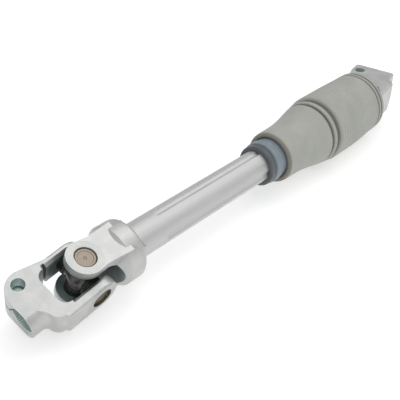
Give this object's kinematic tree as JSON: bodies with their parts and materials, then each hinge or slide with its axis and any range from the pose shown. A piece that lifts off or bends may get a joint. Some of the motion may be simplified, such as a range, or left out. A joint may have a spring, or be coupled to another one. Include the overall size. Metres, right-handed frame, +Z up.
{
  "type": "intermediate steering shaft",
  "caption": "Telescoping intermediate steering shaft with a universal joint and a split clamp yoke at each end, and a rubber boot over the upper joint.",
  "frame": {"origin": "centre of the lower clamp's bore, where its straight wall begins at the mouth", "axes": "+X along the shaft from the lower joint to the upper one, +Z up, as the part lies"},
  "size_m": [0.4231, 0.0599, 0.0576],
  "materials": {
    "plated_steel": "satin",
    "drawn_steel": "satin",
    "outer_tube_steel": "satin",
    "dark_steel": "satin",
    "bearing_cup": "satin",
    "needle_steel": "gloss",
    "seal_rubber": "matte",
    "bush_plastic": "satin",
    "ring_rubber": "satin",
    "boot_rubber": "matte"
  },
  "bodies": {
    "outer": {"outer_tube": "outer_tube_steel", "outer_tube_yoke": "plated_steel", "slide_bush": "bush_plastic", "dust_ring": "ring_rubber", "boot": "boot_rubber", "upper_top_cup": "bearing_cup", "upper_top_seal": "seal_rubber", "upper_top_needles": "needle_steel", "upper_bottom_cup": "bearing_cup", "upper_bottom_seal": "seal_rubber", "upper_bottom_needles": "needle_steel"},
    "inner": {"inner_shaft": "drawn_steel", "shaft_yoke": "plated_steel", "lower_top_cup": "bearing_cup", "lower_top_seal": "seal_rubber", "lower_top_needles": "needle_steel", "lower_bottom_cup": "bearing_cup", "lower_bottom_seal": "seal_rubber", "lower_bottom_needles": "needle_steel"},
    "lower_spider": {"lower_cross": "dark_steel"},
    "lower_clamp": {"lower_clamp_yoke": "plated_steel", "lower_near_cup": "bearing_cup", "lower_near_seal": "seal_rubber", "lower_near_needles": "needle_steel", "lower_far_cup": "bearing_cup", "lower_far_seal": "seal_rubber", "lower_far_needles": "needle_steel"},
    "upper_spider": {"upper_cross": "dark_steel"},
    "upper_clamp": {"upper_clamp_yoke": "plated_steel", "upper_near_cup": "bearing_cup", "upper_near_seal": "seal_rubber", "upper_near_needles": "needle_steel", "upper_far_cup": "bearing_cup", "upper_far_seal": "seal_rubber", "upper_far_needles": "needle_steel"}
  },
  "joints": [
    {"name": "telescope", "type": "slide", "parent": "outer", "child": "inner", "axis": [1, 0, 0], "range_m": [-0.02, 0.03]},
    {"name": "lower_cross_turn", "type": "hinge", "parent": "inner", "child": "lower_spider", "pos_m": [0.0436, -0.00232, 0.00911], "axis": [0, -0.4003, 0.9164], "range_deg": [-26, 22]},
    {"name": "lower_clamp_turn", "type": "hinge", "parent": "lower_spider", "child": "lower_clamp", "pos_m": [0.0436, -0.00232, 0.00911], "axis": [-0.0349, 0.9158, 0.4001], "range_deg": [-12, 36]},
    {"name": "upper_cross_turn", "type": "hinge", "parent": "outer", "child": "upper_spider", "pos_m": [0.3616, -0.00232, 0.00911], "axis": [0, -0.0454, 0.999], "range_deg": [-21.5, 2.5]},
    {"name": "upper_clamp_turn", "type": "hinge", "parent": "upper_spider", "child": "upper_clamp", "pos_m": [0.3616, -0.00232, 0.00911], "axis": [-0.165, 0.9853, 0.0447], "range_deg": [-12, 12]}
  ]
}
